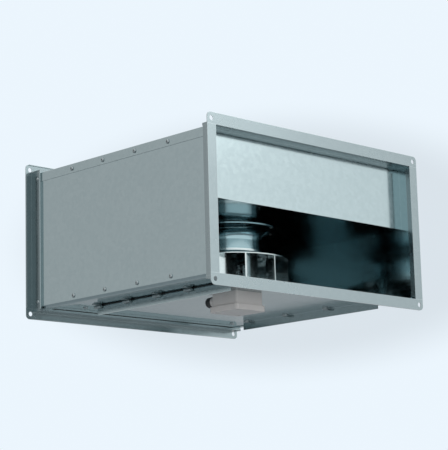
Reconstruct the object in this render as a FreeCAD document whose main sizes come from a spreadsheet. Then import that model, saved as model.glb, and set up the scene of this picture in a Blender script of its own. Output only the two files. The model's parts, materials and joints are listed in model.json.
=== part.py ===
"""Inline duct fan for a 500 x 250 mm rectangular duct.

Frame: the origin is the centre of the outlet opening, in the flange's face. +Y runs through the
casing to the inlet, +X is across the duct and +Z is up. Lengths are in millimetres.
"""
import FreeCAD, Part
import math
import os

import Sketcher

# ---------------------------------------------------------------- driving dimensions
DIMENSIONS = {
    # duct connection
    "duct_w": 500, "duct_h": 250, "case_len": 490, "flange_w": 20, "flange_sheet": 1.2,
    "hole_inset": 10, "hole_r": 4.25, "flange_corner_r": 8, "flange_lip": 3.2,
    "collar_len": 26, "collar_h": 4.5, "flange_leg": 10, "leg_trim": 5, "collar_rivet_z": 115,
    # casing
    "skin": 1, "side_bend_r": 6, "side_foot": 20, "cover_fold": 17, "cover_bend_r": 2, "tray_rise": 21,
    "screw_pitch": 86, "cover_screw_z": 118, "tray_screw_z": -114.8, "screw_hole_r": 2.1,
    # partition between the inlet and outlet chambers
    "split_z": 8.7, "outlet_blank_y": 27, "inlet_blank_y": 430, "tab": 12, "tray_screw_y": 419,
    # access door
    "door_x": 187.5, "door_y0": 38, "door_y1": 385, "door_sheet": 1.5, "door_flange": 15, "door_bend_r": 2.2,
    "door_rim": 16, "gasket_gap": 0.2, "gasket_t": 1, "gasket_w": 12, "gasket_inset": 2,
    "hinge_x": -190.6, "hinge_z": -129.6, "knuckle_r": 2.8, "hinge_pin_r": 1.5, "leaf_w": 14,
    "knuckle_len": 9, "hinge_run": 0.05, "hinge_pitch": 80, "first_hinge_y": 140,
    "door_screw_x": 178, "door_screw_r": 2.9, "door_hole_r": 3.3, "nut_hole_r": 3.6, "nut_r": 5.5, "nut_h": 9,
    # impeller and nozzle
    "fan_y": 236, "rim_r": 112.5, "rim_z": -50.5, "eye_r": 63, "eye_z": -33, "shroud_slope": 0.12,
    "nozzle_r": 60, "nozzle_end_z": -34.5, "nozzle_flange_r": 92, "nozzle_bell_r": 24, "nozzle_t": 1.2,
    "plate_z": -115, "plate_t": 1.5, "plate_bore_r": 47.6, "shroud_t": 1.5,
    "blade_in_r": 76, "blade_out_r": 111.5, "blade_wrap": 28, "blade_bend_r": 109,
    "blade_start": 242, "blade_count": 11,
    # motor
    "rotor_r": 50, "rotor_top_z": -58, "rotor_wall": 2.5, "rotor_rim_r": 58, "rotor_screw_r": 54,
    "stator_r": 43.5, "stack_low_z": -106, "stack_top_z": -70, "air_gap": 0.5, "slot_r": 3.6,
    "slot_ring_r": 31, "slot_count": 12, "winding_top_z": -64, "winding_low_z": -112,
    "tube_r": 14, "shaft_r": 4, "bearing_r": 11, "bearing_w": 7, "low_bearing_z": -113,
    "top_bearing_z": -73, "ball_r": 1.9, "ball_pitch_r": 7.5, "ball_count": 7, "race_gap": 0.06,
    "foot_r": 38, "foot_h": 12, "foot_screw_r": 28, "cage_h": 5.4,
    # terminal box
    "box_x0": -118, "box_x1": -54, "box_y0": 95, "box_y1": 158, "box_low_z": -162, "box_corner_r": 4,
    "lid_h": 10, "lid_lip": 3.5, "box_wall": 2.5, "post_r": 4, "gland_x": -106, "gland_z": -144,
    "cap_r": 8, "cap_len": 38, "lead_r": 3, "lead_z": -121.5, "lead_x": -84, "lead_y": 127, "lead_bend_r": 5,
}


class Size:
    """A length that carries both its value and the spreadsheet formula it comes from."""

    def __init__(self, value, text):
        self.value = value
        self.text = text

    @staticmethod
    def of(number):
        return number if isinstance(number, Size) else Size(float(number), repr(float(number)))

    def __add__(self, other):
        other = Size.of(other)
        return Size(self.value + other.value, f"({self.text} + {other.text})")

    def __sub__(self, other):
        other = Size.of(other)
        return Size(self.value - other.value, f"({self.text} - {other.text})")

    def __mul__(self, other):
        other = Size.of(other)
        return Size(self.value * other.value, f"({self.text} * {other.text})")

    def __truediv__(self, other):
        other = Size.of(other)
        return Size(self.value / other.value, f"({self.text} / {other.text})")

    def __neg__(self):
        return Size(-self.value, f"(-1 * {self.text})")

    def __radd__(self, other):
        return Size.of(other) + self

    def __rsub__(self, other):
        return Size.of(other) - self

    def __rmul__(self, other):
        return Size.of(other) * self


def cos(angle):
    return Size(math.cos(math.radians(Size.of(angle).value)), f"cos({Size.of(angle).text})")


def sin(angle):
    return Size(math.sin(math.radians(Size.of(angle).value)), f"sin({Size.of(angle).text})")


doc = FreeCAD.newDocument("duct_fan")
sheet = doc.addObject("Spreadsheet::Sheet", "Sizes")
for row, (alias, number) in enumerate(DIMENSIONS.items(), start=1):
    sheet.set(f"A{row}", alias)
    sheet.set(f"B{row}", str(number))
    sheet.setAlias(f"B{row}", alias)
doc.recompute()


class Dimensions:
    """D.duct_w is the Size held by the cell named duct_w."""

    def __getattr__(self, alias):
        return Size(DIMENSIONS[alias], "Sizes." + alias)


D = Dimensions()

# ---------------------------------------------------------------- building blocks
ROTATIONS = {
    "+Z": FreeCAD.Rotation(),
    "-Z": FreeCAD.Rotation(FreeCAD.Vector(1, 0, 0), 180),
    "+X": FreeCAD.Rotation(FreeCAD.Vector(0, 1, 0), 90),
    "-X": FreeCAD.Rotation(FreeCAD.Vector(0, 1, 0), -90),
    "+Y": FreeCAD.Rotation(FreeCAD.Vector(1, 0, 0), -90),
    "-Y": FreeCAD.Rotation(FreeCAD.Vector(1, 0, 0), 90),
}
OPPOSITE = {"+": "-", "-": "+"}
NODES = []


def node(name, item):
    """Gives a finished sub-part its name."""
    item.Label = name
    NODES.append(item)


def bind(item, **sizes):
    for prop, size in sizes.items():
        item.setExpression(prop, Size.of(size).text)


def put(item, at, facing="+Z"):
    item.Placement = FreeCAD.Placement(FreeCAD.Vector(), ROTATIONS[facing])
    for letter, size in zip("xyz", at):
        item.setExpression("Placement.Base." + letter, Size.of(size).text)
    return item


def ahead(at, facing, distance):
    """The point that lies the distance from at, in the direction facing."""
    step = Size.of(distance) if facing[0] == "+" else -Size.of(distance)
    return [Size.of(size) + step if letter == facing[1] else size for letter, size in zip("XYZ", at)]


def behind(facing):
    return OPPOSITE[facing[0]] + facing[1]


def box(corner, opposite):
    """A block between two opposite corners, given in either order."""
    pairs = [sorted((Size.of(a), Size.of(b)), key=lambda size: size.value) for a, b in zip(corner, opposite)]
    item = doc.addObject("Part::Box", "block")
    for prop, (low, high) in zip(("Length", "Width", "Height"), pairs):
        item.setExpression(prop, (high - low).text)
    return put(item, [low for low, high in pairs])


def rod(at, facing, length, radius):
    item = doc.addObject("Part::Cylinder", "rod")
    bind(item, Radius=radius, Height=length)
    return put(item, at, facing)


def cone(at, facing, length, radius, end_radius):
    item = doc.addObject("Part::Cone", "cone")
    bind(item, Radius1=radius, Radius2=end_radius, Height=length)
    return put(item, at, facing)


def fuse(*items):
    if len(items) == 1:
        return items[0]
    joined = doc.addObject("Part::MultiFuse", "joined")
    joined.Shapes = list(items)
    return joined


def cut(base, *tools):
    result = doc.addObject("Part::Cut", "cut")
    result.Base = base
    result.Tool = fuse(*tools)
    return result


def group(items):
    """Several separate solids in one sub-part."""
    result = doc.addObject("Part::Compound", "set")
    result.Links = list(items)
    return result


def tube(at, facing, length, radius, bore):
    start = ahead(at, behind(facing), 1)
    return cut(rod(at, facing, length, radius), rod(start, facing, Size.of(length) + 2, bore))


def origin_plane(body, role):
    return next(feature for feature in body.Origin.OriginFeatures if feature.Role == role)


def arc_edge(start, end, radius, turn):
    """The shorter arc from start to end; turn is 1 anticlockwise and -1 clockwise."""
    chord = end - start
    rise = math.sqrt(max(radius * radius - chord.Length ** 2 / 4, 0))
    centre = (start + end) * 0.5 + FreeCAD.Vector(-chord.y, chord.x, 0).normalize() * rise * turn
    first, last = (start, end) if turn > 0 else (end, start)
    angles = [math.atan2(point.y - centre.y, point.x - centre.x) for point in (first, last)]
    if angles[1] < angles[0]:
        angles[1] += 2 * math.pi
    return Part.ArcOfCircle(Part.Circle(centre, FreeCAD.Vector(0, 0, 1), radius), *angles)


def outline_sketch(body, role, outline, offset=0):
    """A closed outline. A step is (x, y), or (x, y, radius, turn) to reach that point by an arc."""
    sketch = body.newObject("Sketcher::SketchObject", "outline")
    sketch.AttachmentSupport = [(origin_plane(body, role), "")]
    sketch.MapMode = "FlatFace"
    sketch.setExpression("AttachmentOffset.Base.z", Size.of(offset).text)
    steps = [[Size.of(size) for size in step[:3]] + list(step[3:]) for step in outline]
    spots = [FreeCAD.Vector(step[0].value, step[1].value, 0) for step in steps]
    ends = []
    for index, step in enumerate(steps):
        if len(step) == 2:
            sketch.addGeometry(Part.LineSegment(spots[index - 1], spots[index]), False)
        else:
            sketch.addGeometry(arc_edge(spots[index - 1], spots[index], step[2].value, step[3]), False)
        clockwise = len(step) > 2 and step[3] < 0
        ends.append((2, 1) if clockwise else (1, 2))
    for index, step in enumerate(steps):
        after = (index + 1) % len(steps)
        last_point = ends[index][1]
        sketch.addConstraint(Sketcher.Constraint("Coincident", index, last_point, after, ends[after][0]))
        rules = [
            (f"x{index}", step[0], ("DistanceX", index, last_point)),
            (f"y{index}", step[1], ("DistanceY", index, last_point)),
        ]
        if len(step) > 2:
            rules.append((f"r{index}", step[2], ("Radius", index)))
        for name, size, kind in rules:
            number = sketch.addConstraint(Sketcher.Constraint(*kind, size.value))
            sketch.renameConstraint(number, name)
            sketch.setExpression("Constraints." + name, size.text)
    return sketch


def pad(role, outline, start, end):
    """The outline in the named plane, extruded across it from start to end."""
    body = doc.addObject("PartDesign::Body", "profile")
    start, end = sorted((Size.of(start), Size.of(end)), key=lambda size: size.value)
    offset = -end if role == "XZ_Plane" else start
    profile = outline_sketch(body, role, outline, offset)
    feature = body.newObject("PartDesign::Pad", "pad")
    feature.Profile = profile
    feature.setExpression("Length", (end - start).text)
    return body


def turn(outline, at=(0, 0, 0)):
    """The outline, in radius and height, turned about the vertical axis through at."""
    body = doc.addObject("PartDesign::Body", "turned")
    profile = outline_sketch(body, "XZ_Plane", outline)
    feature = body.newObject("PartDesign::Revolution", "revolution")
    feature.Profile = profile
    feature.ReferenceAxis = (profile, ["V_Axis"])
    feature.Angle = 360
    return put(body, at)


def rounded(x0, x1, y0, y1, radius):
    """A rectangle with rounded corners, anticlockwise."""
    x0, x1, y0, y1 = (Size.of(size) for size in (x0, x1, y0, y1))
    return [
        (x1 - radius, y0), (x1, y0 + radius, radius, 1),
        (x1, y1 - radius), (x1 - radius, y1, radius, 1),
        (x0 + radius, y1), (x0, y1 - radius, radius, 1),
        (x0, y0 + radius), (x0 + radius, y0, radius, 1),
    ]


def around(centre, radius, count, first_angle=0):
    """Points evenly spaced on a circle in a level plane."""
    return [
        (centre[0] + radius * cos(first_angle + 360 / count * step),
         centre[1] + radius * sin(first_angle + 360 / count * step), centre[2])
        for step in range(count)
    ]


def screw(at, facing, head_r, head_h, shank_r, shank_len):
    """A pan-head screw with a cross recess. at is where the head seats, facing is where it points."""
    head_r, head_h = Size.of(head_r), Size.of(head_h)
    rim = rod(at, facing, head_h * 0.45, head_r)
    dome = cone(ahead(at, facing, head_h * 0.45), facing, head_h * 0.55, head_r, head_r * 0.62)
    shank = rod(at, behind(facing), shank_len, shank_r)
    recess = ahead(at, facing, head_h * 0.5)
    top = ahead(at, facing, head_h * 1.5)
    cross = []
    across = [axis for axis in range(3) if "XYZ"[axis] != facing[1]]
    for long_axis, short_axis in (across, across[::-1]):
        reach = {long_axis: head_r * 0.5, short_axis: head_r * 0.11}
        low = [recess[axis] - reach.get(axis, 0) for axis in range(3)]
        high = [top[axis] + reach.get(axis, 0) for axis in range(3)]
        cross.append(box(low, high))
    return cut(fuse(rim, dome, shank), *cross)


def rivet(at, facing, head_r=3.2, shank_len=1.2):
    """A blind rivet: a low domed head and the stub that fills its hole."""
    return fuse(cone(at, facing, 1.1, head_r, head_r * 0.55), rod(at, behind(facing), shank_len, 1.6))


# ---------------------------------------------------------------- levels shared by several sub-parts
half_w = D.duct_w / 2
half_h = D.duct_h / 2
inner_x = half_w + D.flange_sheet
inner_z = half_h + D.flange_sheet
outer_x = inner_x + D.skin
outer_z = inner_z + D.skin
wall_x = inner_x - D.skin
tray_top = D.skin - inner_z
collar_in = D.flange_sheet + D.skin
collar_out = collar_in + D.collar_h
sheet_y0 = D.flange_sheet
sheet_y1 = D.case_len - D.flange_sheet
mid_y = D.case_len / 2
screw_rows = [mid_y + D.screw_pitch * step for step in (-1.5, -0.5, 0.5, 1.5)]
door_top = -inner_z - D.gasket_gap - D.gasket_t
door_low = door_top - D.door_sheet
opening_x = D.door_x - D.door_rim
plate_top = D.plate_z + D.plate_t
box_top = door_low
lid_top = D.box_low_z + D.lid_h
fan_at = (0, D.fan_y, 0)
SIDES = {-1: "-X", 1: "+X"}


def door_screw_spots():
    """Four captive screws, evenly spaced along the door's free edge."""
    first, last = D.door_y0 + 17, D.door_y1 - 17
    return [(D.door_screw_x, first + (last - first) * step / 3) for step in range(4)]


def tray_screw_spots():
    return [(D.door_x * side, D.tray_screw_y) for side in SIDES]


def hinge_spots():
    return [D.first_hinge_y + D.hinge_pitch * step for step in range(4)]


# ---------------------------------------------------------------- casing
def make_top_cover():
    """The lid sheet, folded down outside both side panels between the collars."""
    edge, bend = outer_x + D.skin, D.cover_bend_r
    fold_z = outer_z - D.cover_fold
    profile = [
        (-edge, fold_z), (-outer_x, fold_z), (-outer_x, inner_z), (outer_x, inner_z), (outer_x, fold_z),
        (edge, fold_z), (edge, outer_z - bend), (edge - bend, outer_z, bend, 1),
        (-edge + bend, outer_z), (-edge, outer_z - bend, bend, 1),
    ]
    first, last = D.collar_len + 0.5, D.case_len - D.collar_len - 0.5
    pieces = [pad("XZ_Plane", profile, first, last)]
    for start, stop in ((sheet_y0, first + 1), (last - 1, sheet_y1)):
        pieces.append(box((-outer_x, start, inner_z), (outer_x, stop, outer_z)))
    holes = [
        rod(((outer_x - 1) * side, y, D.cover_screw_z), facing, 4, D.screw_hole_r)
        for side, facing in SIDES.items() for y in screw_rows
    ]
    node("top_cover", cut(fuse(*pieces), *holes))


def make_side_panel(name, side):
    """A side sheet whose foot turns in under the tray round a generous bend."""
    bend, foot_x = D.side_bend_r, outer_x - D.side_foot
    profile = [
        (inner_x, inner_z), (inner_x, bend - outer_z), (outer_x - bend, -inner_z, bend - D.skin, -1),
        (foot_x, -inner_z), (foot_x, -outer_z), (outer_x - bend, -outer_z),
        (outer_x, bend - outer_z, bend, 1), (outer_x, inner_z),
    ]
    profile = [(step[0] * side, step[1]) + ((step[2], step[3] * side) if len(step) > 2 else ())
               for step in profile]
    holes = [
        rod(((inner_x - 1) * side, y, z), SIDES[side], 4, D.screw_hole_r)
        for y in screw_rows for z in (D.cover_screw_z, D.tray_screw_z)
    ]
    node(name, cut(pad("XZ_Plane", profile, sheet_y0, sheet_y1), *holes))


def make_bottom_tray():
    """The floor with turned-up sides, and the opening that the door closes."""
    bend, rise = D.side_bend_r, D.tray_rise - inner_z
    profile = [
        (-inner_x, rise), (-inner_x, bend - inner_z), (bend - inner_x, -inner_z, bend, 1),
        (inner_x - bend, -inner_z), (inner_x, bend - inner_z, bend, 1), (inner_x, rise), (wall_x, rise),
        (wall_x, bend - inner_z), (inner_x - bend, tray_top, bend - D.skin, -1),
        (bend - inner_x, tray_top), (-wall_x, bend - inner_z, bend - D.skin, -1), (-wall_x, rise),
    ]
    body = pad("XZ_Plane", profile, D.flange_leg + 1, D.case_len - D.flange_leg - 1)
    opening_y0, opening_y1 = D.door_y0 + D.door_rim, D.door_y1 - D.door_rim
    door_hole = rounded(-opening_x, opening_x, opening_y0, opening_y1, 10)
    opening = pad("XY_Plane", door_hole, -outer_z, tray_top + 1)
    holes = [
        rod(((wall_x - 1) * side, y, D.tray_screw_z), facing, 4, D.screw_hole_r)
        for side, facing in SIDES.items() for y in screw_rows
    ]
    holes += [rod((x, y, -outer_z), "+Z", 4, D.nut_hole_r) for x, y in door_screw_spots()]
    holes += [rod((x, y, -outer_z), "+Z", 4, D.screw_hole_r) for x, y in tray_screw_spots()]
    node("bottom_tray", cut(body, opening, *holes))


def collar_section():
    """The hollow step behind a flange's face, in depth and distance from the duct."""
    sheet_t = D.flange_sheet
    back = D.collar_len
    return [
        (sheet_t, collar_out), (back - 1, collar_out), (back, collar_out - 1), (back, collar_in),
        (back - sheet_t, collar_in), (back - sheet_t, collar_out - sheet_t), (sheet_t, collar_out - sheet_t),
    ]


def from_end(end, y):
    return Size.of(y) if end == "outlet" else D.case_len - y


def make_flange_rail(end, place, sign):
    """The long flange rail above (1) or below (-1) the duct, with its bolt holes."""
    reach, radius = half_w + D.flange_w, D.flange_corner_r
    low, high = half_h * sign, (half_h + D.flange_w) * sign
    shoulder = high - radius * sign
    face_outline = [
        (-reach, low), (reach, low), (reach, shoulder), (reach - radius, high, radius, sign),
        (radius - reach, high), (-reach, shoulder, radius, sign),
    ]
    face = pad("XZ_Plane", face_outline, from_end(end, 0), from_end(end, D.flange_sheet))
    hem = box((radius - reach, from_end(end, D.flange_sheet), high - D.flange_sheet * sign),
              (reach - radius, from_end(end, D.flange_lip), high))
    collar_outline = [(from_end(end, y), (half_h + out) * sign) for y, out in collar_section()]
    collar = pad("YZ_Plane", collar_outline, -half_w - collar_out, half_w + collar_out)
    leg = box((D.leg_trim - half_w, from_end(end, D.flange_sheet), low),
              (half_w - D.leg_trim, from_end(end, D.flange_leg), low + D.flange_sheet * sign))
    holes = [
        rod(((half_w + D.hole_inset) * side, from_end(end, 5), (half_h + D.hole_inset) * sign),
            "-Y" if end == "outlet" else "+Y", 10, D.hole_r)
        for side in SIDES
    ]
    tip = half_w + collar_out
    caps = [
        box((tip * side, from_end(end, D.flange_sheet), (half_h + collar_in) * sign),
            ((tip - D.flange_sheet) * side, from_end(end, D.collar_len - 1), (half_h + collar_out) * sign))
        for side in SIDES
    ]
    node(f"{end}_flange_{place}", cut(fuse(face, hem, collar, leg, *caps), *holes))


def make_flange_post(end, place, side):
    """The upright flange rail that fits between the long ones."""
    low, high = half_w * side, (half_w + D.flange_w) * side
    face = box((low, from_end(end, 0), -half_h), (high, from_end(end, D.flange_sheet), half_h))
    hem = box((high - D.flange_sheet * side, from_end(end, D.flange_sheet), -half_h),
              (high, from_end(end, D.flange_lip), half_h))
    collar_outline = [((half_w + out) * side, from_end(end, y)) for y, out in collar_section()]
    collar = pad("XY_Plane", collar_outline, -half_h - collar_in, half_h + collar_in)
    leg = box((low, from_end(end, D.flange_sheet), D.leg_trim - half_h),
              (low + D.flange_sheet * side, from_end(end, D.flange_leg), half_h - D.leg_trim))
    holes = [rod(ahead(spot, behind(facing), 3), facing, 4, 1.6)
             for spot, facing in collar_rivet_spots(end) if facing == SIDES[side]]
    solid = fuse(face, hem, collar, leg)
    node(f"{end}_flange_{place}", cut(solid, *holes) if holes else solid)


def collar_rivet_spots(end):
    """Only the inlet's upright rails are riveted; the outlet's are spot-welded."""
    levels = (-1, 1) if end == "inlet" else ()
    return [
        (((half_w + collar_out) * side, from_end(end, D.collar_len - 7), D.collar_rivet_z * level), facing)
        for side, facing in SIDES.items() for level in levels
    ]


def make_casing_fasteners():
    cover_screws, side_screws = [], []
    for side, facing in SIDES.items():
        for y in screw_rows:
            cover_at = ((outer_x + D.skin) * side, y, D.cover_screw_z)
            cover_screws.append(screw(cover_at, facing, 3.9, 2.4, 2, 7))
            side_screws.append(screw((outer_x * side, y, D.tray_screw_z), facing, 3.9, 2.4, 2, 7))
    node("cover_screws", group(cover_screws))
    node("side_screws", group(side_screws))
    node("collar_rivets", group(rivet(spot, facing) for spot, facing in collar_rivet_spots("inlet")))
    node("tray_screws", group(screw((x, y, -inner_z), "-Z", 4.4, 2.2, 2, 5) for x, y in tray_screw_spots()))


# ---------------------------------------------------------------- partition and nozzle
def make_outlet_blank():
    """Closes the upper half of the outlet: a plate with tabs along its top and sides."""
    front, back = D.outlet_blank_y, D.outlet_blank_y + D.skin
    plate = box((-inner_x, front, D.split_z), (inner_x, back, inner_z))
    top_tab = box((-inner_x, back, inner_z - D.skin), (inner_x, back + D.tab, inner_z))
    side_tabs = [box((wall_x * side, back, D.split_z), (inner_x * side, back + D.tab, inner_z))
                 for side in SIDES]
    node("outlet_blank_panel", fuse(plate, top_tab, *side_tabs))


def make_divider():
    """The level plate between the chambers, with its edges turned up and the nozzle's hole."""
    low, top = D.split_z, D.split_z + D.skin
    front, back = D.outlet_blank_y + D.skin, D.inlet_blank_y + D.skin
    plate = box((-wall_x, front, low), (wall_x, back, top))
    front_tab = box((-wall_x, front, low), (wall_x, front + D.skin, top + D.tab))
    side_tabs = [
        box((wall_x * side, front + D.tab + 1, low), ((wall_x - D.skin) * side, back, top + D.tab))
        for side in SIDES
    ]
    bore = rod(ahead(fan_at, "+Z", low - 1), "+Z", 4, D.nozzle_r + D.nozzle_bell_r)
    holes = [rod(spot, "+Z", 4, 1.6) for spot in nozzle_rivet_spots(low - 1)]
    node("divider_plate", cut(fuse(plate, front_tab, *side_tabs), bore, *holes))


def make_inlet_blank():
    """Closes the lower half of the casing behind the impeller."""
    front, back = D.inlet_blank_y, D.inlet_blank_y + D.skin
    edge, nick = wall_x - 0.2, D.side_bend_r
    reach = D.inlet_blank_y - D.tray_screw_y + 9
    outline = [
        (-edge, D.split_z), (-edge, tray_top + nick), (nick - edge, tray_top), (edge - nick, tray_top),
        (edge, tray_top + nick), (edge, D.split_z),
    ]
    plate = pad("XZ_Plane", outline, front, back)
    foot = box((nick - edge, front - reach, tray_top), (edge - nick, front, tray_top + D.skin))
    side_tabs = [
        box((edge * side, front - D.tab, tray_top + nick), ((edge - D.skin) * side, front, D.split_z))
        for side in SIDES
    ]
    holes = [rod((x, y, tray_top - 1), "+Z", 4, D.screw_hole_r) for x, y in tray_screw_spots()]
    node("inlet_blank_panel", cut(fuse(plate, foot, *side_tabs), *holes))


def nozzle_rivet_spots(level):
    return around((0, D.fan_y, level), D.nozzle_flange_r - 4, 8, 22.5)


def make_nozzle():
    """The inlet bellmouth: a flange under the divider, a round bell and a straight throat."""
    bell_r = D.nozzle_r + D.nozzle_bell_r
    bell_z = D.split_z - D.nozzle_bell_r
    skin = D.nozzle_t
    outline = [
        (D.nozzle_r, D.nozzle_end_z), (D.nozzle_r + skin, D.nozzle_end_z), (D.nozzle_r + skin, bell_z),
        (bell_r, D.split_z - skin, D.nozzle_bell_r - skin, -1), (D.nozzle_flange_r, D.split_z - skin),
        (D.nozzle_flange_r, D.split_z), (bell_r, D.split_z), (D.nozzle_r, bell_z, D.nozzle_bell_r, 1),
    ]
    holes = [rod(spot, "+Z", 5, 1.6) for spot in nozzle_rivet_spots(D.split_z - 3)]
    node("inlet_nozzle", cut(turn(outline, fan_at), *holes))


def make_partition_rivets():
    spots = nozzle_rivet_spots(D.split_z - D.nozzle_t)
    node("partition_rivets", group(rivet(spot, "-Z", 2.8, 2.2) for spot in spots))


# ---------------------------------------------------------------- access door
def make_door():
    """The door sheet, its long edges turned down; it carries the motor and the terminal box."""
    edge, bend, thick = D.door_x, D.door_bend_r, D.door_sheet
    hang = door_low - D.door_flange
    profile = [
        (-edge, hang), (thick - edge, hang), (thick - edge, door_top - bend),
        (bend - edge, door_low, bend - thick, -1), (edge - bend, door_low),
        (edge - thick, door_top - bend, bend - thick, -1), (edge - thick, hang), (edge, hang),
        (edge, door_top - bend), (edge - bend, door_top, bend, 1), (bend - edge, door_top),
        (-edge, door_top - bend, bend, 1),
    ]
    holes = [rod((x, y, door_low - 1), "+Z", 4, D.door_hole_r) for x, y in door_screw_spots()]
    holes += [rod(spot, "+Z", 4, 2.6) for spot in foot_screw_spots(door_low - 1)]
    holes += [rod(spot, "+Z", 4, 1.6) for spot in box_screw_spots(door_low - 1)]
    holes.append(rod((D.lead_x, D.lead_y, door_low - 1), "+Z", 4, D.lead_r + 2))
    node("access_door", cut(pad("XZ_Plane", profile, D.door_y0, D.door_y1), *holes))


def make_gasket():
    """The foam frame stuck round the door's rim."""
    edge, top = D.door_x - D.gasket_inset, door_top + D.gasket_t
    y0, y1, width = D.door_y0 + D.gasket_inset, D.door_y1 - D.gasket_inset, D.gasket_w
    frame = pad("XY_Plane", rounded(-edge, edge, y0, y1, 6), door_top, top)
    inside = rounded(width - edge, edge - width, y0 + width, y1 - width, 6)
    hole = pad("XY_Plane", inside, door_top - 1, top + 1)
    screws = [rod((x, y, door_top - 1), "+Z", 4, D.nut_hole_r) for x, y in door_screw_spots()]
    node("door_gasket", cut(frame, hole, *screws))


def make_hinge():
    """Four small hinges: a leaf and knuckle under the tray, a knuckle on the door, and a pin."""
    axis_x, axis_z, radius, length = D.hinge_x, D.hinge_z, D.knuckle_r, D.knuckle_len
    leaves, knuckles, pins = [], [], []
    for y in hinge_spots():
        leaf = box((axis_x - D.leaf_w, y - length, -inner_z), (axis_x, y, -inner_z - 1.2))
        web = box((axis_x - 1.6, y - length, -inner_z), (axis_x + 1.2, y, axis_z + 2))
        fixed = fuse(leaf, web, rod((axis_x, y - length, axis_z), "+Y", length, radius))
        leaves.append(cut(fixed, rod((axis_x, y - length - 1, axis_z), "+Y", length + 2, D.hinge_pin_r)))
        start = y + 0.3
        arm = box((axis_x, start, axis_z - radius), (-D.door_x, start + length, axis_z))
        moving = fuse(arm, rod((axis_x, start, axis_z), "+Y", length, radius))
        bore = rod((axis_x, start - 1, axis_z), "+Y", length + 2, D.hinge_pin_r + D.hinge_run)
        knuckles.append(cut(moving, bore))
        pins.append(rod((axis_x, y - length - 1, axis_z), "+Y", length * 2 + 2.3, D.hinge_pin_r))
    node("hinge_leaves", group(leaves))
    node("door_knuckles", group(knuckles))
    node("hinge_pins", group(pins))


def make_door_fasteners():
    node("door_screws", group(screw((x, y, door_low), "-Z", 6, 3, D.door_screw_r, 11)
                              for x, y in door_screw_spots()))
    node("rivet_nuts", group(tube((x, y, tray_top), "+Z", D.nut_h, D.nut_r, D.nut_hole_r)
                             for x, y in door_screw_spots()))


# ---------------------------------------------------------------- impeller
def blade_tip(radius, angle):
    return radius * cos(angle), radius * sin(angle)


def make_blades():
    """Backward-curved blades, each one arc from the rim in towards the eye, trimmed under the shroud."""
    out_r, in_r, bend = D.blade_out_r, D.blade_in_r, D.blade_bend_r
    inner_angle = D.blade_start + D.blade_wrap
    outline = [
        blade_tip(out_r, D.blade_start), blade_tip(in_r, inner_angle) + (bend, 1),
        blade_tip(in_r, inner_angle + 1.8), blade_tip(out_r, D.blade_start + 1.3) + (bend, -1),
    ]
    blade = pad("XY_Plane", outline, plate_top, D.rim_z + 10)
    array = blade.newObject("PartDesign::PolarPattern", "ring")
    array.Originals = [blade.Tip]
    array.Axis = (origin_plane(blade, "Z_Axis"), [""])
    array.Angle = 360
    array.setExpression("Occurrences", "Sizes.blade_count")
    blade.Tip = array
    put(blade, fan_at)
    reach, near = D.rim_r + 8, D.blade_in_r - 8
    above = [
        (near, D.rim_z + (D.rim_r - near) * D.shroud_slope),
        (reach, D.rim_z + (D.rim_r - reach) * D.shroud_slope), (reach, 0), (near, 0),
    ]
    node("impeller_blades", cut(blade, turn(above, fan_at)))


def make_impeller_plates():
    """The back plate and the front shroud with its eye collar."""
    plate = [
        (D.plate_bore_r, D.plate_z), (D.rim_r, D.plate_z), (D.rim_r, plate_top), (D.plate_bore_r, plate_top),
    ]
    screws = [rod(spot, "+Z", 4, 1.6) for spot in rotor_screw_spots(D.plate_z - 1)]
    node("impeller_backplate", cut(turn(plate, fan_at), *screws))
    thick = D.shroud_t
    knee_r = D.eye_r + 9
    knee_z = D.rim_z + (D.rim_r - knee_r) * D.shroud_slope
    collar_z = knee_z + 9
    shroud = [
        (D.eye_r, collar_z), (knee_r, knee_z, 9.5, 1), (D.rim_r, D.rim_z), (D.rim_r, D.rim_z + thick),
        (knee_r, knee_z + thick), (D.eye_r + thick, collar_z, 8.2, -1), (D.eye_r + thick, D.eye_z),
        (D.eye_r, D.eye_z),
    ]
    node("impeller_shroud", turn(shroud, fan_at))


def rotor_screw_spots(level):
    return around((0, D.fan_y, level), D.rotor_screw_r, 6)


def make_balance_weights():
    """Two small domed weights fixed near the back plate's edge, in gaps between blades."""
    gaps = around((0, D.fan_y, plate_top), D.rim_r - 7, DIMENSIONS["blade_count"], D.blade_start - 10)
    node("balance_weights", group(
        fuse(rod(gap, "+Z", 1, 4.5), cone(ahead(gap, "+Z", 1), "+Z", 1.5, 4.5, 2.5)) for gap in gaps[::5][:2]
    ))


# ---------------------------------------------------------------- motor
def make_rotor():
    """The rotating can with its rim on the back plate, the ring inside it and the shaft."""
    inside = D.rotor_r - D.rotor_wall
    roof = D.rotor_top_z - D.rotor_wall
    can = [
        (D.shaft_r, roof), (inside - 3, roof), (inside, roof - 3, 3, -1), (inside, plate_top),
        (D.rotor_rim_r, plate_top), (D.rotor_rim_r, plate_top + 2), (D.rotor_r, plate_top + 2),
        (D.rotor_r, D.rotor_top_z - 5), (D.rotor_r - 5, D.rotor_top_z, 5, 1), (D.shaft_r, D.rotor_top_z),
    ]
    holes = [rod(spot, "+Z", 5, 1.6) for spot in rotor_screw_spots(plate_top - 1)]
    node("rotor_can", cut(turn(can, fan_at), *holes))
    gap_r = D.stator_r + D.air_gap
    ring = ahead(fan_at, "+Z", D.stack_low_z)
    node("rotor_ring", tube(ring, "+Z", D.stack_top_z - D.stack_low_z, inside, gap_r))
    start = ahead(fan_at, "+Z", D.low_bearing_z - 2)
    shaft = rod(start, "+Z", D.rotor_top_z - D.low_bearing_z + 4, D.shaft_r)
    node("motor_shaft", shaft)
    node("rotor_screws", group(screw(spot, "-Z", 3, 1.6, 1.6, 3.4) for spot in rotor_screw_spots(D.plate_z)))


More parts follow.
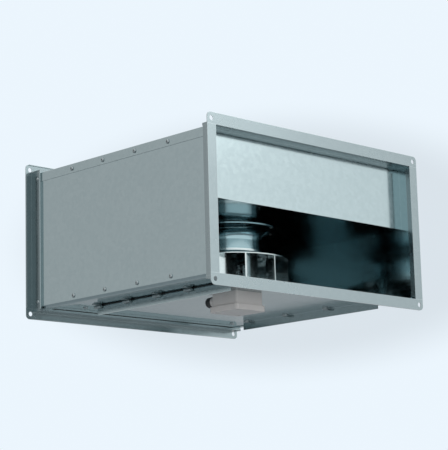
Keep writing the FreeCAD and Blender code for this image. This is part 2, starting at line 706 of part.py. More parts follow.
def make_stator():
    stack = rod(ahead(fan_at, "+Z", D.stack_low_z), "+Z", D.stack_top_z - D.stack_low_z, D.stator_r)
    height = D.stack_top_z - D.stack_low_z + 2
    cuts = [rod(ahead(fan_at, "+Z", D.stack_low_z - 1), "+Z", height, D.tube_r)]
    count = DIMENSIONS["slot_count"]
    for spot in around((0, D.fan_y, D.stack_low_z - 1), D.slot_ring_r, count):
        cuts.append(rod(spot, "+Z", height, D.slot_r))
    opening = [(D.slot_ring_r, -1), (D.stator_r + 1, -1), (D.stator_r + 1, 1), (D.slot_ring_r, 1)]
    for index in range(count):
        mouth = pad("XY_Plane", opening, D.stack_low_z - 1, D.stack_top_z + 1)
        turned = FreeCAD.Rotation(FreeCAD.Vector(0, 0, 1), 360 / count * index)
        mouth.Placement = FreeCAD.Placement(FreeCAD.Vector(), turned)
        mouth.setExpression("Placement.Base.y", D.fan_y.text)
        cuts.append(mouth)
    node("stator_stack", cut(stack, *cuts))


def make_windings():
    """Coil sides in the slots and the rounded end turns above and below the stack."""
    coils = [
        rod(spot, "+Z", D.stack_top_z - D.stack_low_z, D.slot_r - 0.1)
        for spot in around((0, D.fan_y, D.stack_low_z), D.slot_ring_r, DIMENSIONS["slot_count"])
    ]
    inner_r, outer_r = D.slot_ring_r - 8, D.slot_ring_r + 8
    for low, high in ((D.winding_low_z, D.stack_low_z), (D.stack_top_z, D.winding_top_z)):
        coils.append(turn(rounded(inner_r, outer_r, low, high, 2.5), fan_at))
    node("stator_windings", fuse(*coils))


def foot_screw_spots(level):
    return around((0, D.fan_y, level), D.foot_screw_r, 4)


def make_motor_foot():
    """The cast foot on the door and the tube that holds both bearings and the stator."""
    foot_top = door_top + D.foot_h
    low_end, top_end = D.low_bearing_z, D.top_bearing_z + D.bearing_w
    narrow = D.bearing_r - 2
    outline = [
        (narrow, door_top), (D.foot_r, door_top), (D.foot_r, foot_top - 2), (D.foot_r - 2, foot_top, 2, 1),
        (D.tube_r + 4, foot_top), (D.tube_r, foot_top + 4, 4, -1), (D.tube_r, top_end),
        (D.bearing_r, top_end), (D.bearing_r, D.top_bearing_z), (narrow, D.top_bearing_z),
        (narrow, low_end + D.bearing_w),
        (D.bearing_r, low_end + D.bearing_w), (D.bearing_r, low_end), (narrow, low_end),
    ]
    holes = [rod(spot, "+Z", D.foot_h - 1, 2.1) for spot in foot_screw_spots(door_top - 1)]
    holes.append(lead_solid("lead_channel", D.lead_r + 0.4))
    node("motor_foot", cut(turn(outline, fan_at), *holes))
    node("motor_screws", group(screw(spot, "-Z", 4.2, 2.6, 2.1, 7) for spot in foot_screw_spots(door_low)))


def make_bearings():
    """Two ball bearings, split into the rings that stand still, the rings that turn, and the balls."""
    groove = D.ball_r + D.race_gap
    outer_rings, inner_rings, balls, cages = [], [], [], []
    inner_ring_r, outer_ring_r = D.ball_pitch_r - 1, D.ball_pitch_r + 1
    for level in (D.low_bearing_z, D.top_bearing_z):
        middle = level + D.bearing_w / 2
        bead = doc.addObject("Part::Torus", "race")
        bind(bead, Radius1=D.ball_pitch_r, Radius2=groove)
        put(bead, (0, D.fan_y, middle))
        base = (0, D.fan_y, level)
        outer_rings.append(cut(tube(base, "+Z", D.bearing_w, D.bearing_r, outer_ring_r), bead))
        inner_rings.append(cut(tube(base, "+Z", D.bearing_w, inner_ring_r, D.shaft_r), bead))
        rims = [
            tube((0, D.fan_y, start), "+Z", 0.7, D.ball_pitch_r + 0.6, D.ball_pitch_r - 0.6)
            for start in (middle - D.cage_h / 2, middle + D.cage_h / 2 - 0.7)
        ]
        count = DIMENSIONS["ball_count"]
        between = around((0, D.fan_y, middle - D.cage_h / 2 + 0.3), D.ball_pitch_r, count, 180 / count)
        cages.append(fuse(*rims, *(rod(spot, "+Z", D.cage_h - 0.6, 0.5) for spot in between)))
        for spot in around((0, D.fan_y, middle), D.ball_pitch_r, count):
            sphere = doc.addObject("Part::Sphere", "ball")
            bind(sphere, Radius=D.ball_r)
            balls.append(put(sphere, spot))
    node("bearing_outer_rings", group(outer_rings))
    node("bearing_inner_rings", group(inner_rings))
    node("bearing_balls", group(balls))
    node("bearing_cages", group(cages))


# ---------------------------------------------------------------- terminal box
def lead_solid(name, radius):
    """The motor lead: level from the foot, one round bend, then down into the terminal box."""
    drop_x, drop_y, level = D.lead_x.value, D.lead_y.value, D.lead_z.value
    centre = FreeCAD.Vector(0, D.fan_y.value, level)
    corner = FreeCAD.Vector(drop_x, drop_y, level)
    heading = (corner - centre).normalize()
    start = centre + heading * (D.foot_r.value - 16)
    bend = D.lead_bend_r.value
    down = FreeCAD.Vector(0, 0, -1)
    first, last = corner - heading * bend, corner + down * bend
    inside = first + down * bend
    middle = inside + (heading - down).normalize() * bend
    end = FreeCAD.Vector(drop_x, drop_y, lid_top.value + 4)
    path = Part.Wire([
        Part.makeLine(start, first), Part.Arc(first, middle, last).toShape(), Part.makeLine(last, end),
    ])
    profile = Part.Wire([Part.makeCircle(radius.value, start, heading)])
    item = doc.addObject("Part::Feature", name)
    item.Shape = path.makePipeShell([profile], True, False)
    return item


def box_screw_spots(level):
    return [(D.box_x0 + 12, D.box_y0 + 16, level), (D.box_x1 - 20, D.box_y1 - 6, level)]


def post_spots(level):
    inset = D.box_wall + D.post_r - 0.5
    return [(x, y, level) for x in (D.box_x0 + inset, D.box_x1 - inset)
            for y in (D.box_y0 + inset, D.box_y1 - inset)]


def make_box_base():
    """The moulded base under the door: roof, walls, screw posts and the boss for the cable gland."""
    wall = D.box_wall
    shell = pad("XY_Plane", rounded(D.box_x0, D.box_x1, D.box_y0, D.box_y1, D.box_corner_r), lid_top, box_top)
    hollow = pad("XY_Plane", rounded(D.box_x0 + wall, D.box_x1 - wall, D.box_y0 + wall, D.box_y1 - wall, 1.5),
                 lid_top - 1, box_top - wall)
    posts = [rod(spot, "+Z", box_top - lid_top - 1, D.post_r) for spot in post_spots(lid_top)]
    boss = cone((D.gland_x, D.box_y1 - 1, D.gland_z + 3), "+Y", 9, 10.5, 9)
    flat = box((D.box_x0 - 9, D.box_y1 - 2, lid_top), (D.box_x1, D.box_y1 + 9, lid_top - 12))
    mouth = rod((D.gland_x, D.box_y1 - 5, D.gland_z + 3), "+Y", 15, 6)
    bores = [rod(spot, "+Z", 14, 1.3) for spot in post_spots(lid_top - 1)]
    roof = box_top - wall
    cap_x, cap_y, cap_z = capacitor_spot()
    reach = D.cap_r + 1.5
    cradles = [
        cut(box((cap_x - reach, cap_y + along, cap_z + 1), (cap_x + reach, cap_y + along + 4, roof)),
            rod((cap_x, cap_y, cap_z), "+Y", D.cap_len, D.cap_r))
        for along in (9, 29)
    ]
    entry = rod((D.lead_x, D.lead_y, box_top - 4), "+Z", 6, D.lead_r + 2)
    screws = [rod(spot, "+Z", 8, 1.6) for spot in box_screw_spots(box_top - 4)]
    lining = cut(shell, hollow)
    solid = fuse(lining, *posts, *cradles, cut(boss, flat))
    node("terminal_box_base", cut(solid, mouth, entry, *bores, *screws))


def make_box_lid():
    """The deeper lid that laps over the base, with countersunk corners for its screws."""
    lip, wall = D.lid_lip, D.box_wall
    outside = (D.box_x0 - lip, D.box_x1 + lip, D.box_y0 - lip, D.box_y1 + lip)
    shell = pad("XY_Plane", rounded(*outside, D.box_corner_r + 2), D.box_low_z, lid_top)
    inside = (outside[0] + wall, outside[1] - wall, outside[2] + wall, outside[3] - wall)
    hollow = pad("XY_Plane", rounded(*inside, 3), D.box_low_z + wall, lid_top + 1)
    posts = [rod(spot, "+Z", D.lid_h, D.post_r + 1) for spot in post_spots(D.box_low_z)]
    wells = [rod(spot, "+Z", 4, 3.4) for spot in post_spots(D.box_low_z - 1)]
    bores = [rod(spot, "+Z", 14, 1.6) for spot in post_spots(D.box_low_z - 1)]
    node("terminal_box_lid", cut(fuse(cut(shell, hollow), *posts), *wells, *bores))
    node("lid_screws", group(screw(spot, "-Z", 3, 1.8, 1.25, 15) for spot in post_spots(D.box_low_z + 3)))


def capacitor_spot():
    return D.box_x0 + 14, D.box_y0 + 12, D.box_low_z + 14


def make_box_contents():
    x1, wall = D.box_x1, D.box_wall
    roof = box_top - wall
    block_x = x1 - wall - 12
    block = box((block_x, D.box_y0 + 12, roof - 10), (x1 - wall - 3, D.box_y1 - 16, roof))
    ways = [(block_x + 4.5, D.box_y0 + 16 + 6.5 * step, roof - 10) for step in range(5)]
    wells = [rod(spot, "+Z", 5, 2.2) for spot in ways]
    node("terminal_block", cut(block, *wells))
    node("terminal_screws", group(rod(ahead(spot, "+Z", 2), "+Z", 3, 2.1) for spot in ways))
    shoulder = ahead(capacitor_spot(), "+Y", D.cap_len)
    node("run_capacitor", fuse(rod(capacitor_spot(), "+Y", D.cap_len, D.cap_r),
                               cone(shoulder, "+Y", 2, D.cap_r, D.cap_r - 3)))
    node("box_screws", group(screw(spot, "-Z", 3, 1.8, 1.5, 5) for spot in box_screw_spots(roof)))


def make_gland():
    """The cable gland: threaded body through the boss, dome nut outside it and a rubber seal inside."""
    face = D.box_y1 + 8
    centre = (D.gland_x, face, D.gland_z + 3)
    collar = tube(centre, "+Y", 4, 9.6, 4.4)
    thread = tube(ahead(centre, "-Y", 12), "+Y", 12, 5.9, 4.4)
    node("cable_gland_body", fuse(collar, thread))
    dome_at = ahead(centre, "+Y", 4)
    dome = fuse(rod(dome_at, "+Y", 7, 9.2), cone(ahead(dome_at, "+Y", 7), "+Y", 3, 9.2, 6.5))
    node("cable_gland_nut", cut(dome, rod(ahead(dome_at, "-Y", 1), "+Y", 9, 6), rod(dome_at, "+Y", 12, 4.2)))
    node("cable_gland_seal", tube(dome_at, "+Y", 8, 5.8, 3.8))


def make_lead():
    node("motor_lead", lead_solid("lead", D.lead_r))
    low, top = box_top - 4, door_top + 1.2
    outline = [
        (D.lead_r + 0.2, low), (D.lead_r + 1.9, low), (D.lead_r + 1.9, door_top), (D.lead_r + 3.5, door_top),
        (D.lead_r + 3.5, top), (D.lead_r + 0.2, top),
    ]
    node("lead_grommet", turn(outline, (D.lead_x, D.lead_y, 0)))


# ---------------------------------------------------------------- assembly
make_top_cover()
make_side_panel("left_side_panel", -1)
make_side_panel("right_side_panel", 1)
make_bottom_tray()
for end in ("outlet", "inlet"):
    make_flange_rail(end, "top", 1)
    make_flange_rail(end, "bottom", -1)
    make_flange_post(end, "left", -1)
    make_flange_post(end, "right", 1)
make_casing_fasteners()
make_outlet_blank()
make_divider()
make_inlet_blank()
make_nozzle()
make_partition_rivets()
make_door()
make_gasket()
make_hinge()
make_door_fasteners()
make_blades()
make_impeller_plates()
make_balance_weights()
make_rotor()
make_stator()
make_windings()
make_motor_foot()
make_bearings()
make_box_base()
make_box_lid()
make_box_contents()
make_gland()
make_lead()

doc.recompute()
for item in doc.Objects:
    if "Invalid" in item.State or "Error" in item.State:
        raise RuntimeError(f"{item.Name} ({item.Label}) failed: {item.State}")
for item in NODES:
    if item.Shape.isNull() or not item.Shape.isValid() or not item.Shape.Solids:
        raise RuntimeError(f"{item.Label} has no valid solid")

os.makedirs("parts", exist_ok=True)
for item in NODES:
    item.Shape.exportStep(f"parts/{item.Label}.step")
    print(f"{item.Label}: {len(item.Shape.Solids)} solids, {item.Shape.Volume / 1000:.2f} cm3")
print(len(NODES), "sub-parts")
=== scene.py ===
"""Looks for the inline duct fan: materials, small formed details, floor, lights and camera.

Everything is in metres in the part's own frame: the origin is the centre of the outlet opening, +Y runs
through the casing to the inlet and +Z is up.
"""

import json
import math

import bmesh
import bpy
from mathutils import Matrix, Vector


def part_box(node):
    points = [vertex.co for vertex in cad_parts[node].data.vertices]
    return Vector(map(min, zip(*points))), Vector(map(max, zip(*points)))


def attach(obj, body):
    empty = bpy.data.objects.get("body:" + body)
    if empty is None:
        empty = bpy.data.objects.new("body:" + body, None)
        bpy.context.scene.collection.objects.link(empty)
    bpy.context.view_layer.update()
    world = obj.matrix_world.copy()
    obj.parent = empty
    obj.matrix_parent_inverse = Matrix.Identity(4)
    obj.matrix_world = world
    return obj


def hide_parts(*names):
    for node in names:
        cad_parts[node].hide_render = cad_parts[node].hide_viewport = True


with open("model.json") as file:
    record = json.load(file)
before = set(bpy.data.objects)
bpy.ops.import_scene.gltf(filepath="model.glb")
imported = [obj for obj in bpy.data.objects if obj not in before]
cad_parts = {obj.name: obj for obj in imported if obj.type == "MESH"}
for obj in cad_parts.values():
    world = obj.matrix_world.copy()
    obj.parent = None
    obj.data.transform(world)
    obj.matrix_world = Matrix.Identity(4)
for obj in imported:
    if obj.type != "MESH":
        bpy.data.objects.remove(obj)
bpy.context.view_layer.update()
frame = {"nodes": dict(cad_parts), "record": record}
NODES = frame["nodes"]

# ---------------------------------------------------------------- camera
AZIMUTH, ELEVATION, ROLL = -44.40, -11.05, -1.52
DISTANCE = 2.949
TARGET = Vector((-0.116, 0.124, -0.010))
LENS = 134.7
NEAREST, FARTHEST = 0.05, 60


def add_camera():
    """Looks up at the outlet end from its left and below, with a long lens."""
    azimuth, elevation = math.radians(AZIMUTH), math.radians(ELEVATION)
    level = math.cos(elevation)
    back = Vector((math.sin(azimuth) * level, -math.cos(azimuth) * level, math.sin(elevation)))
    data = bpy.data.cameras.new("camera")
    data.lens = LENS
    data.clip_start = NEAREST
    data.clip_end = FARTHEST
    camera = bpy.data.objects.new("camera", data)
    turned = back.to_track_quat("Z", "Y").to_matrix() @ Matrix.Rotation(math.radians(ROLL), 3, "Z")
    camera.matrix_world = Matrix.Translation(TARGET + back * DISTANCE) @ turned.to_4x4()
    bpy.context.scene.collection.objects.link(camera)
    bpy.context.scene.camera = camera


# ---------------------------------------------------------------- building node trees
BEVEL_SAMPLES = 4
# A crystal's border wanders by a share of the crystal's size, in a pattern finer than the crystals.
BORDER_WANDER, BORDER_FINENESS = 0.6, 1.7
# A sharp edge is a full edge where its softened direction has turned by the angle with this cosine.
FULL_EDGE = 0.85


class Graph:
    """A node tree under construction."""

    def __init__(self, tree):
        self.tree = tree

    def add(self, kind, inputs=None, **settings):
        """A new node, its inputs given as numbers or as other nodes' sockets."""
        node = self.tree.nodes.new(kind)
        for key, value in settings.items():
            setattr(node, key, value)
        for key, value in (inputs or {}).items():
            if isinstance(value, bpy.types.NodeSocket):
                self.tree.links.new(value, node.inputs[key])
            else:
                node.inputs[key].default_value = value
        return node

    def calc(self, operation, first, second):
        """One step of arithmetic on two values."""
        return self.add("ShaderNodeMath", {0: first, 1: second}, operation=operation).outputs["Value"]

    def dot(self, first, second):
        """The dot product of two directions."""
        product = self.add("ShaderNodeVectorMath", {0: first, 1: second}, operation="DOT_PRODUCT")
        return product.outputs["Value"]

    def spread(self, value, low, high, start=0, end=1, **settings):
        """Carries a value that runs from start to end over to the range from low to high."""
        ranged = self.add("ShaderNodeMapRange", {
            "Value": value, "From Min": start, "From Max": end, "To Min": low, "To Max": high,
        }, **settings)
        return ranged.outputs["Result"]

    def blend(self, value, first, second):
        """A mix of two colours, each given as numbers or as another node's socket."""
        mix = self.add("ShaderNodeMix", {"Factor": value}, data_type="RGBA")
        slots = [socket for socket in mix.inputs if socket.type == "RGBA"]
        for slot, colour in zip(slots, (first, second)):
            if isinstance(colour, bpy.types.NodeSocket):
                self.tree.links.new(colour, slot)
            else:
                slot.default_value = colour
        return [socket for socket in mix.outputs if socket.type == "RGBA"][0]

    def shade(self, value, low, high):
        """A colour between low and high."""
        return self.blend(value, (*low, 1), (*high, 1))


class Shader(Graph):
    """A material under construction."""

    def __init__(self, name):
        self.material = bpy.data.materials.new(name)
        self.material.use_nodes = True
        super().__init__(self.material.node_tree)
        self.surface = self.tree.nodes["Principled BSDF"]
        self.place = self.add("ShaderNodeTexCoord").outputs["Object"]

    def noise(self, scale, detail=3, stretch=(1, 1, 1)):
        """Cloudy noise over the object, finer along the directions with a larger stretch."""
        place = self.add("ShaderNodeMapping", {"Vector": self.place, "Scale": stretch}).outputs["Vector"]
        clouds = self.add("ShaderNodeTexNoise", {"Vector": place, "Scale": scale, "Detail": detail})
        return clouds.outputs["Fac"]

    def spangle(self, scale):
        """A different shade for every crystal of the zinc, its border softly broken."""
        drift = self.add("ShaderNodeTexNoise", {
            "Vector": self.place, "Scale": scale * BORDER_FINENESS, "Detail": 2,
        })
        warp = self.add("ShaderNodeVectorMath", {
            "Vector": drift.outputs["Color"], "Scale": BORDER_WANDER / scale,
        }, operation="SCALE")
        moved = self.add("ShaderNodeVectorMath", {0: self.place, 1: warp.outputs["Vector"]})
        cells = self.add("ShaderNodeTexVoronoi", {"Vector": moved.outputs["Vector"], "Scale": scale})
        return self.add("ShaderNodeSeparateColor", {"Color": cells.outputs["Color"]}).outputs["Red"]

    def bump(self, value, strength, depth, under=None):
        """The surface's direction with a relief on it, and on the relief under it where there is one."""
        inputs = {"Height": value, "Strength": strength, "Distance": depth}
        if under is not None:
            inputs["Normal"] = under
        return self.add("ShaderNodeBump", inputs).outputs["Normal"]

    def rounded(self, radius):
        """The surface's direction with its sharp edges softened."""
        return self.add("ShaderNodeBevel", {"Radius": radius}, samples=BEVEL_SAMPLES).outputs["Normal"]

    def edge(self, radius):
        """How near the surface is to a sharp edge, from 0 to 1."""
        flat = self.add("ShaderNodeNewGeometry").outputs["Normal"]
        return self.spread(self.dot(self.rounded(radius), flat), 0, 1, start=1, end=FULL_EDGE)

    def set(self, **values):
        """Sets the surface's inputs, each to a number or to another node's socket."""
        for key, value in values.items():
            socket = self.surface.inputs[key.replace("_", " ")]
            if isinstance(value, bpy.types.NodeSocket):
                self.tree.links.new(value, socket)
            else:
                socket.default_value = value
        return self.material


# ---------------------------------------------------------------- surroundings
FLOOR_CENTRE, FLOOR_REACH, FLOOR_CELLS = (0, 11, -3.2), 20, 8
FLOOR_COLOUR, FLOOR_BOUNCE = (0.74, 0.80, 0.84), 0.45

# The backdrop that the camera sees, and the soft oval shade on it, measured along two directions.
BACKDROP = (0.834, 0.916, 0.985)
SHADE_RIGHT, SHADE_UP = Vector((0.714, -0.700, 0.0)), Vector((-0.134, -0.137, 0.981))
SHADE_CENTRE, SHADE_REACH = (0.033, -0.012), (0.143, 0.0716)
SHADE_DEPTH, SHADE_OUTER, SHADE_INNER = 0.16, 1.2, 0.8

# The studio that the object sees: a colour for each step from straight behind it, 0, to its front, 1.
STUDIO_FRONT = Vector((0.0, -0.95, 0.30))
STUDIO_STRENGTH = 1.55
STUDIO_STEPS = (
    (0.0, (0.40, 0.41, 0.41)), (0.20, (0.47, 0.47, 0.475)), (0.55, (0.50, 0.51, 0.52)),
    (0.80, (0.68, 0.70, 0.71)), (0.87, (0.97, 0.98, 0.99)), (1.0, (1.0, 1.0, 1.0)),
)

# Each light's name, place, aim, size, power, and whether the zinc mirrors it.
LIGHTS = (
    ("key", (2.0, -3.4, 2.4), (0, 0.1, 0), (2.4, 2.4), 25, True),
    ("left", (-3.4, 0.4, 1.8), (0, 0.2, 0), (2.0, 2.4), 12, True),
    ("top", (0.2, 0.2, 3.0), (0, 0.2, 0), (3.0, 3.0), 30, True),
    ("low_fill", (-1.9, -2.0, -0.6), (-0.09, 0.12, -0.15), (1.0, 1.0), 22, False),
)


def backdrop_colour(graph, towards):
    """The pale backdrop, dimmed inside a soft oval behind the object."""
    offset = graph.add("ShaderNodeCombineXYZ", {
        slot: graph.calc("SUBTRACT", graph.dot(towards, axis / reach), centre / reach)
        for slot, axis, centre, reach in zip("XY", (SHADE_RIGHT, SHADE_UP), SHADE_CENTRE, SHADE_REACH)
    })
    away = graph.add("ShaderNodeVectorMath", {0: offset.outputs["Vector"]}, operation="LENGTH")
    depth = graph.spread(away.outputs["Value"], 0, SHADE_DEPTH, start=SHADE_OUTER, end=SHADE_INNER,
                         interpolation_type="SMOOTHSTEP")
    return graph.shade(depth, BACKDROP, (0, 0, 0))


def studio_colour(graph, towards):
    """Light all round that grows towards the front of the object."""
    frontness = graph.spread(graph.dot(towards, STUDIO_FRONT.normalized()), 0, 1, start=-1)
    ramp = graph.add("ShaderNodeValToRGB", {"Fac": frontness})
    steps = ramp.color_ramp.elements
    for index, (position, colour) in enumerate(STUDIO_STEPS):
        step = steps[index] if index < len(steps) else steps.new(position)
        step.position = position
        step.color = (*colour, 1)
    return ramp.outputs["Color"]


def add_world():
    """A pale backdrop for the camera and a soft studio for the object."""
    world = bpy.data.worlds.new("studio")
    bpy.context.scene.world = world
    world.use_nodes = True
    world.node_tree.nodes.clear()
    graph = Graph(world.node_tree)
    towards = graph.add("ShaderNodeTexCoord").outputs["Generated"]
    seen = graph.add("ShaderNodeBackground", {"Color": backdrop_colour(graph, towards)})
    around = graph.add("ShaderNodeBackground", {
        "Color": studio_colour(graph, towards), "Strength": STUDIO_STRENGTH,
    })
    mix = graph.add("ShaderNodeMixShader", {
        "Fac": graph.add("ShaderNodeLightPath").outputs["Is Camera Ray"],
        1: around.outputs["Background"], 2: seen.outputs["Background"],
    })
    graph.add("ShaderNodeOutputWorld", {"Surface": mix.outputs["Shader"]})


def add_floor():
    """A pale floor far below, which throws less light back at the object than it shows to the camera."""
    mesh = bpy.data.meshes.new("floor")
    shape = bmesh.new()
    bmesh.ops.create_grid(shape, x_segments=FLOOR_CELLS, y_segments=FLOOR_CELLS, size=FLOOR_REACH)
    shape.to_mesh(mesh)
    shape.free()
    floor = bpy.data.objects.new("floor", mesh)
    floor.location = FLOOR_CENTRE
    bpy.context.scene.collection.objects.link(floor)
    s = Shader("floor")
    camera_ray = s.add("ShaderNodeLightPath").outputs["Is Camera Ray"]
    bounced = tuple(part * FLOOR_BOUNCE for part in FLOOR_COLOUR)
    mesh.materials.append(s.set(Base_Color=s.shade(camera_ray, bounced, FLOOR_COLOUR), Roughness=0.9))


def add_light(name, place, aim, size, power, mirrored):
    """A soft rectangular light."""
    data = bpy.data.lights.new(name, "AREA")
    data.shape = "RECTANGLE"
    data.size, data.size_y = size
    data.energy = power
    light = bpy.data.objects.new(name, data)
    light.location = place
    light.visible_glossy = mirrored
    light.rotation_mode = "QUATERNION"
    light.rotation_quaternion = (Vector(place) - Vector(aim)).to_track_quat("Z", "Y")
    bpy.context.scene.collection.objects.link(light)


# ---------------------------------------------------------------- materials
# Sharp edges of the zinc are brightened towards this colour, partly as cut-edge wear and partly as a
# painted highlight.
EDGE_WEAR_AND_HIGHLIGHT_RADIUS, EDGE_WEAR_AND_HIGHLIGHT_COLOUR = 0.0009, (0.80, 0.86, 0.87, 1)
MOULDED_EDGE_RADIUS = 0.0007
# Handling roughens the zinc by a share of its own roughness, where the noise is in this range.
HANDLED_ROUGHNESS, SMEARED = 0.4, (0.45, 0.75)


def galvanised(name, dark, light, rough=(0.12, 0.17), spangle=150, wave=0.07, edge_wear_and_highlight=0.45):
    """Zinc-coated sheet: crystals, a slightly wavy surface, handling marks, and sharp edges brightened
    partly as cut-edge wear and partly as a painted highlight.
    """
    s = Shader(name)
    crystals, cloud = s.spangle(spangle), s.noise(9)
    waves, pits = s.noise(5.5, detail=1), s.noise(900, detail=2)
    smears = s.noise(4, detail=2, stretch=(1, 1, 2.5))
    tone = s.calc("MULTIPLY", s.calc("ADD", crystals, cloud), 0.5)
    # Painted highlight and wear: sharp edges lean towards a pale colour.
    worn_and_highlit = s.calc("MULTIPLY", s.edge(EDGE_WEAR_AND_HIGHLIGHT_RADIUS), edge_wear_and_highlight)
    colour = s.blend(worn_and_highlit, s.shade(tone, dark, light), EDGE_WEAR_AND_HIGHLIGHT_COLOUR)
    normal = s.bump(waves, strength=wave, depth=0.002)
    normal = s.bump(crystals, strength=0.015, depth=0.0002, under=normal)
    normal = s.bump(pits, strength=0.02, depth=0.0001, under=normal)
    handled = s.spread(smears, 0, rough[0] * HANDLED_ROUGHNESS, *SMEARED)
    satin = s.calc("ADD", s.spread(crystals, *rough), handled)
    return s.set(Base_Color=colour, Metallic=1.0, Roughness=satin, Normal=normal)


def brushed(name, dark, light, rough=(0.2, 0.32), grain=(40, 40, 700)):
    """Turned or drawn metal with a fine grain."""
    s = Shader(name)
    lines = s.noise(1, detail=4, stretch=grain)
    return s.set(Base_Color=s.shade(lines, dark, light), Metallic=1.0, Roughness=s.spread(lines, *rough),
                 Normal=s.bump(lines, strength=0.12, depth=0.0003))


def plastic(name, dark, light, rough=(0.42, 0.55), grain=1400, relief=0.25):
    """Moulded plastic or rubber with a fine spark-eroded texture."""
    s = Shader(name)
    cloud, fine = s.noise(35), s.noise(grain, detail=2)
    normal = s.bump(fine, strength=relief, depth=0.0002, under=s.rounded(MOULDED_EDGE_RADIUS))
    return s.set(Base_Color=s.shade(cloud, dark, light), Roughness=s.spread(fine, *rough), Normal=normal)


def cast(name, dark, light):
    """Rough cast metal."""
    s = Shader(name)
    grain, cloud = s.noise(420, detail=4), s.noise(30)
    return s.set(Base_Color=s.shade(cloud, dark, light), Metallic=0.9, Roughness=s.spread(grain, 0.42, 0.6),
                 Normal=s.bump(grain, strength=0.5, depth=0.0004))


FINISHES = {
    "galvanised_sheet": galvanised("galvanised", (0.345, 0.425, 0.440), (0.385, 0.465, 0.480)),
    "zinc_fasteners": brushed("bright_zinc", (0.26, 0.30, 0.31), (0.38, 0.42, 0.43), (0.34, 0.46)),
    "hinge_steel": brushed("hinge_zinc", (0.26, 0.31, 0.32), (0.36, 0.41, 0.42), (0.34, 0.46)),
    "impeller_steel": galvanised("impeller_zinc", (0.40, 0.47, 0.48), (0.46, 0.53, 0.54),
                                 rough=(0.14, 0.20), spangle=200, wave=0.05),
    "rotor_steel": brushed("rotor_steel", (0.36, 0.38, 0.39), (0.48, 0.50, 0.51)),
    "magnetic_ring": cast("magnetic_ring", (0.10, 0.10, 0.11), (0.18, 0.18, 0.19)),
    "lamination_steel": brushed("laminations", (0.16, 0.17, 0.18), (0.30, 0.31, 0.32),
                                rough=(0.35, 0.5), grain=(30, 30, 1400)),
    "copper_winding": brushed("enamelled_copper", (0.42, 0.16, 0.07), (0.62, 0.27, 0.12),
                              rough=(0.3, 0.42), grain=(25, 25, 1000)),
    "cast_foot": cast("cast_foot", (0.42, 0.43, 0.44), (0.55, 0.56, 0.57)),
    "bearing_steel": brushed("bearing_steel", (0.60, 0.62, 0.63), (0.74, 0.76, 0.77), (0.06, 0.12)),
    "cage_brass": brushed("cage_brass", (0.60, 0.42, 0.16), (0.72, 0.54, 0.24)),
    "door_foam": plastic("door_foam", (0.020, 0.021, 0.022), (0.045, 0.046, 0.048),
                         rough=(0.85, 0.95), grain=700, relief=0.7),
    "box_plastic": plastic("box_plastic", (0.44, 0.425, 0.415), (0.49, 0.475, 0.465)),
    "lid_screw_steel": brushed("lid_screws", (0.42, 0.43, 0.43), (0.55, 0.56, 0.56)),
    "block_plastic": plastic("block_plastic", (0.62, 0.62, 0.58), (0.72, 0.72, 0.68)),
    "capacitor_plastic": plastic("capacitor_plastic", (0.60, 0.60, 0.60), (0.68, 0.68, 0.68),
                                 rough=(0.2, 0.28), grain=900, relief=0.05),
    "gland_plastic": plastic("gland_plastic", (0.010, 0.011, 0.012), (0.022, 0.023, 0.025), (0.35, 0.5)),
    "seal_rubber": plastic("seal_rubber", (0.014, 0.014, 0.014), (0.03, 0.03, 0.03), (0.6, 0.75)),
    "lead_sheath": plastic("lead_sheath", (0.02, 0.02, 0.022), (0.04, 0.04, 0.043), (0.4, 0.5)),
}

# Sheets whose zinc differs from the casing's: rougher, darker rails, darker still at the inlet
# where it is a painted shade; a nozzle darkened as a painted shade; and smoother inner sheets.
RAIL_ZINC = galvanised("rail_zinc", (0.265, 0.322, 0.335), (0.285, 0.342, 0.355),
                       rough=(0.21, 0.24), wave=0.04, edge_wear_and_highlight=0.3)
# Painted shade: the inlet rails get a much darker copy of the zinc.
INLET_RAIL_PAINTED_SHADE_ZINC = galvanised("inlet_rail_painted_shade_zinc", (0.195, 0.245, 0.257), (0.215, 0.265, 0.277),
                       rough=(0.21, 0.24), wave=0.04, edge_wear_and_highlight=0.3)
INNER_ZINC = galvanised("inner_zinc", (0.285, 0.395, 0.42), (0.305, 0.415, 0.44),
                        rough=(0.05, 0.08), wave=0.02, edge_wear_and_highlight=0.2)
# Painted shade: the nozzle's zinc is darker than the casing's, standing for the shade it sits in.
NOZZLE_PAINTED_SHADE_ZINC = galvanised("nozzle_painted_shade_zinc", (0.22, 0.325, 0.352), (0.245, 0.35, 0.377),
                         wave=0.02, edge_wear_and_highlight=0)
WALL_ZINC = galvanised("wall_zinc", (0.31, 0.42, 0.445), (0.34, 0.45, 0.475),
                       rough=(0.09, 0.13), wave=0.03)
OWN_FINISHES = {
    "divider_plate": INNER_ZINC, "inlet_blank_panel": INNER_ZINC, "bottom_tray": INNER_ZINC,
    "inlet_nozzle": NOZZLE_PAINTED_SHADE_ZINC, "right_side_panel": WALL_ZINC,
}
OWN_FINISHES.update({name: RAIL_ZINC for name in NODES if name.startswith("outlet_flange_")})
OWN_FINISHES.update({name: INLET_RAIL_PAINTED_SHADE_ZINC for name in NODES if name.startswith("inlet_flange_")})


def finish_nodes():
    """Gives every carried-over node its own finish, or else its slot's."""
    for entry in frame["record"]["subparts"]:
        name = entry["node"]
        node = NODES[name]
        node.data.materials.clear()
        node.data.materials.append(OWN_FINISHES.get(name, FINISHES[entry["material_slot"]]))


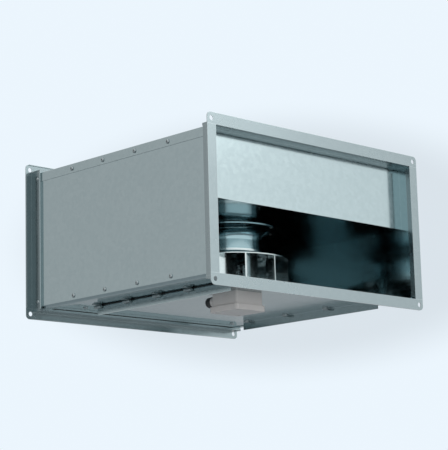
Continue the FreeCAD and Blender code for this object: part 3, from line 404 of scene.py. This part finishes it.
# ---------------------------------------------------------------- small formed details
NUT_BORE, NUT_RIB_DEPTH = 0.0043, 0.0007
NUT_RIBS, NUT_SEGMENTS = 18, 144


def add_lathed(name, centre, profile, segments, ribs):
    """A closed ring about the Y axis; profile lists (along, radius, rib depth) round its section."""
    shape = bmesh.new()
    rings = []
    for along, radius, depth in profile:
        ring = []
        for index in range(segments):
            angle = 2 * math.pi * index / segments
            reach = radius - depth * (0.5 - 0.5 * math.cos(ribs * angle))
            ring.append(shape.verts.new((reach * math.cos(angle), along, reach * math.sin(angle))))
        rings.append(ring)
    for ring, after in zip(rings, rings[1:] + rings[:1]):
        for index in range(segments):
            near = (index + 1) % segments
            shape.faces.new((ring[index], ring[near], after[near], after[index]))
    bmesh.ops.recalc_face_normals(shape, faces=shape.faces)
    mesh = bpy.data.meshes.new(name)
    shape.to_mesh(mesh)
    shape.free()
    piece = bpy.data.objects.new(name, mesh)
    piece.location = centre
    bpy.context.scene.collection.objects.link(piece)
    return piece


def add_dome_nut():
    """The gland's clamping nut: gripping ribs round a domed body that is open through the middle."""
    low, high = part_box("cable_gland_nut")
    centre = (low + high) / 2
    centre.y = low.y
    radius, length = (high.x - low.x) / 2, high.y - low.y
    profile = [
        (0, NUT_BORE, 0), (0, radius * 0.95, 0),
        (length * 0.05, radius, 0), (length * 0.09, radius, NUT_RIB_DEPTH),
        (length * 0.58, radius, NUT_RIB_DEPTH), (length * 0.63, radius * 0.98, 0),
        (length * 0.80, radius * 0.90, 0), (length * 0.92, radius * 0.76, 0),
        (length * 0.98, radius * 0.62, 0), (length, radius * 0.54, 0),
        (length, NUT_BORE * 1.08, 0), (length * 0.94, NUT_BORE, 0),
    ]
    nut = add_lathed("gland_dome_nut", centre, profile, NUT_SEGMENTS, NUT_RIBS)
    nut.data.materials.append(FINISHES["gland_plastic"])
    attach(nut, "access_door")
    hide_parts("cable_gland_nut")


# ---------------------------------------------------------------- the scene
add_camera()
add_world()
add_floor()
for light in LIGHTS:
    add_light(*light)
bpy.context.scene.view_settings.view_transform = "Standard"
finish_nodes()
add_dome_nut()
